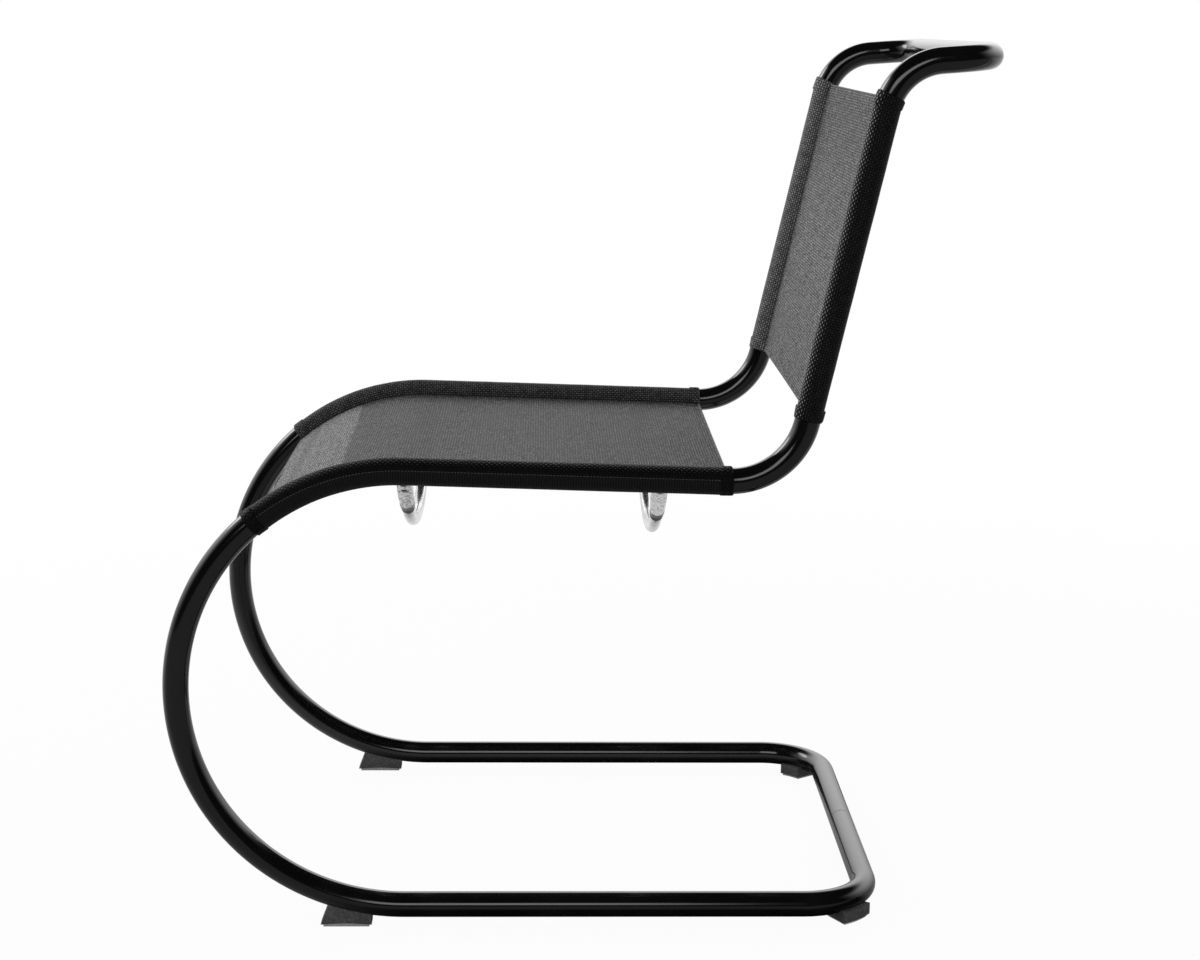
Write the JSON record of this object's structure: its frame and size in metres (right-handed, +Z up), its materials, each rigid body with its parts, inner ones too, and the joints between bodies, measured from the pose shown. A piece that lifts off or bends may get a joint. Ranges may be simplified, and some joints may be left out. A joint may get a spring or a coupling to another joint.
{
  "type": "cantilever chair",
  "caption": "Cantilever side chair: a continuous bent tube frame with woven seat and back slings, bowed braces under the seat and glides on the base.",
  "frame": {"origin": "on the floor, below the middle of the chair's outline in plan", "axes": "+X to the sitter's left, +Y towards the back of the chair (the sitter faces -Y), +Z up"},
  "size_m": [0.5052, 0.7927, 0.8572],
  "materials": {
    "frame_gloss": "smooth gloss black coating on bent steel tube",
    "mesh_cloth": "taut open mesh weave, dark grey, slightly see-through",
    "sleeve_cloth": "dense black ribbed weave, doubled and stitched",
    "brace_chrome": "polished chrome on steel rod",
    "collar_satin": "satin nickel, finely textured",
    "soft_black": "matte black",
    "bare_steel": "zinc-plated steel",
    "glide_black": "fine moulded texture, charcoal",
    "pad_grey": "pale grey low-friction sole"
  },
  "bodies": {
    "root": {"back_panel": "mesh_cloth", "back_sleeve_left": "sleeve_cloth", "back_sleeve_right": "sleeve_cloth", "brace_bushes": "soft_black", "brace_collar_front_left": "collar_satin", "brace_collar_front_right": "collar_satin", "brace_collar_rear_left": "collar_satin", "brace_collar_rear_right": "collar_satin", "brace_lock_rings": "collar_satin", "brace_rod_front": "brace_chrome", "brace_rod_rear": "brace_chrome", "brace_saddle_front_left": "soft_black", "brace_saddle_front_right": "soft_black", "brace_saddle_rear_left": "soft_black", "brace_saddle_rear_right": "soft_black", "brace_studs": "bare_steel", "collar_screws": "soft_black", "frame_tube": "frame_gloss", "glide_front_left": "glide_black", "glide_front_right": "glide_black", "glide_rear_left": "glide_black", "glide_rear_right": "glide_black", "glide_screws": "bare_steel", "pad_front_left": "pad_grey", "pad_front_right": "pad_grey", "pad_rear_left": "pad_grey", "pad_rear_right": "pad_grey", "rail_inserts": "bare_steel", "seam_plug": "bare_steel", "seam_screws": "bare_steel", "seat_binding_left": "sleeve_cloth", "seat_binding_right": "sleeve_cloth", "seat_panel": "mesh_cloth", "seat_sleeve_left": "sleeve_cloth", "seat_sleeve_right": "sleeve_cloth"}
  },
  "joints": []
}
